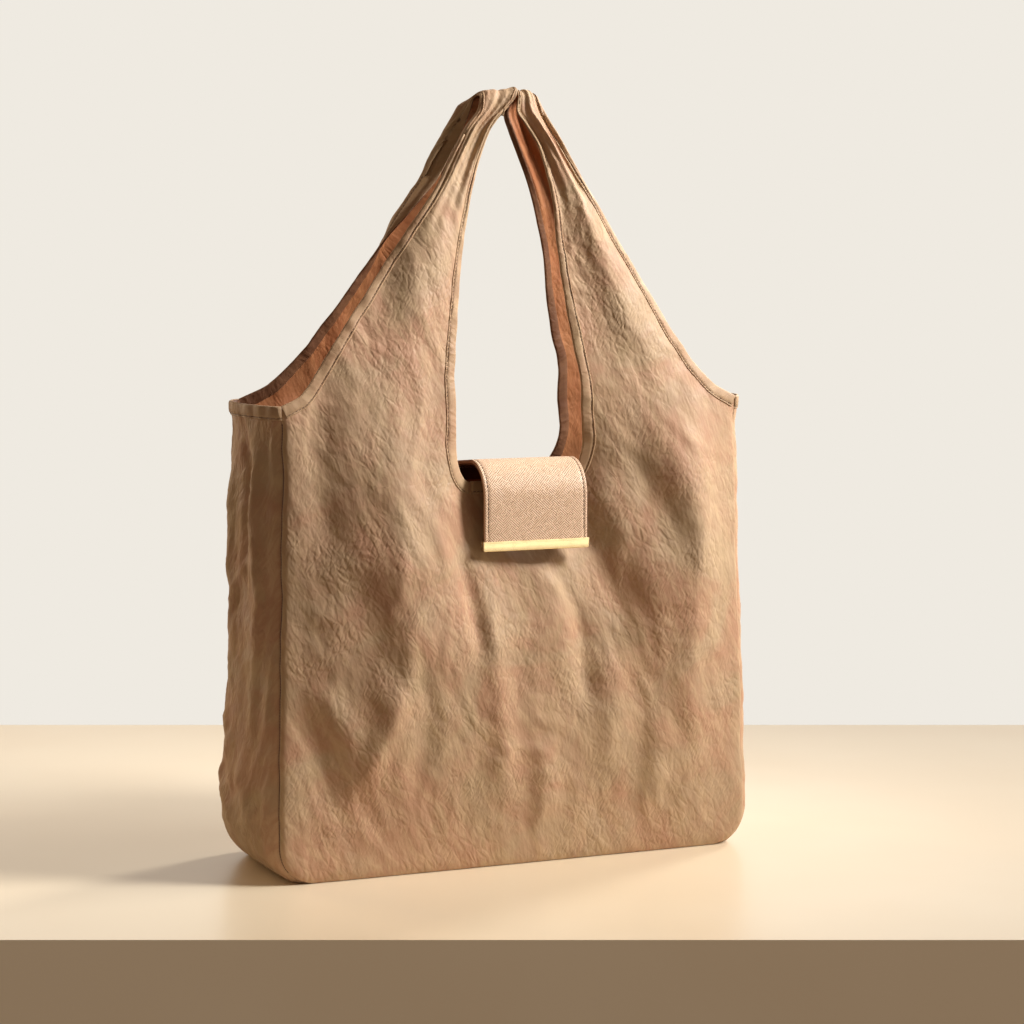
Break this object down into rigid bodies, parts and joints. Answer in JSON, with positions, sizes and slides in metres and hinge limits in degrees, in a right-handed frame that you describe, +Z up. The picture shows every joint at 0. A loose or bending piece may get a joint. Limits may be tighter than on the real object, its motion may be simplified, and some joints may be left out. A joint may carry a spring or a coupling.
{
  "type": "foldable tote bag",
  "caption": "Foldable cloth tote bag with two handle loops, boxed gussets, a leather wrap with a magnetic flap over the mouth, and a gold snap hook behind.",
  "frame": {"origin": "centre of the flat base, on the surface the bag stands on", "axes": "+X right seen from the front, front faces -Y, +Z up"},
  "size_m": [0.4184, 0.1604, 0.63],
  "materials": {
    "cloth": "crinkled nylon taffeta with a soft sheen",
    "cloth_tape": "folded nylon tape",
    "leather": "crosshatch embossed",
    "leather_lining": "smooth matte",
    "board": "flexible board, hidden",
    "gold_metal": "satin pale gold plate",
    "spring_steel": "spring wire",
    "magnet": "plated magnet, hidden"
  },
  "bodies": {
    "root": {"front_panel": "cloth", "back_panel": "cloth", "gusset_left": "cloth", "gusset_right": "cloth", "base_panel": "cloth", "armhole_binding_left": "cloth_tape", "armhole_binding_right": "cloth_tape", "neck_binding": "cloth_tape", "seam_binding_front": "cloth_tape", "seam_binding_back": "cloth_tape", "wrap_outer": "leather", "wrap_stiffener": "board", "wrap_lining": "leather_lining", "wrap_magnet": "magnet", "hook_tab": "leather", "tab_rivet": "gold_metal"},
    "front_closure": {"front_magnet": "magnet", "magnet_patch": "cloth"},
    "flap": {"flap_outer": "leather", "flap_stiffener": "board", "flap_lining": "leather_lining"},
    "flap_tip": {"edge_bar": "gold_metal", "bar_screws": "gold_metal", "flap_magnet": "magnet"},
    "ring": {"split_ring": "gold_metal"},
    "swivel": {"swivel_eye": "gold_metal"},
    "hook": {"hook_body": "gold_metal", "gate_pin": "gold_metal", "gate_spring": "spring_steel"},
    "gate": {"gate": "gold_metal"}
  },
  "joints": [
    {"name": "flatten", "type": "slide", "parent": "root", "child": "front_closure", "axis": [0, 1, 0], "range_m": [0, 0.1], "deforming": ["front_panel", "back_panel", "gusset_left", "gusset_right", "base_panel", "armhole_binding_left", "armhole_binding_right", "neck_binding", "seam_binding_front", "seam_binding_back", "flap_outer", "flap_stiffener", "flap_lining"]},
    {"name": "flap_lift", "type": "hinge", "parent": "root", "child": "flap", "pos_m": [0.008, 0.0633, 0.321], "axis": [-1, 0, 0], "range_deg": [0, 165]},
    {"name": "flap_tip_slide", "type": "slide", "parent": "flap", "child": "flap_tip", "axis": [0, 1, 0], "range_m": [0, 0.1]},
    {"name": "ring_swing", "type": "hinge", "parent": "root", "child": "ring", "pos_m": [-0.053, 0.06716, 0.3], "axis": [0, 0, -1], "range_deg": [0, 40]},
    {"name": "hook_swing", "type": "hinge", "parent": "ring", "child": "swivel", "pos_m": [-0.06037, 0.07233, 0.29], "axis": [0.8192, -0.5736, 0], "range_deg": [0, 90]},
    {"name": "swivel_turn", "type": "hinge", "parent": "swivel", "child": "hook", "pos_m": [-0.06037, 0.07233, 0.283], "axis": [0, 0, 1], "continuous": true},
    {"name": "gate_open", "type": "hinge", "parent": "hook", "child": "gate", "pos_m": [-0.05427, 0.07233, 0.2702], "axis": [0, 1, 0], "range_deg": [0, 25], "stiffness_Nm_per_rad": 0.02, "springref_deg": -17.19}
  ],
  "couplings": [
    {"joint": "flap_tip_slide", "follows": "flatten", "ratio": 1}
  ]
}
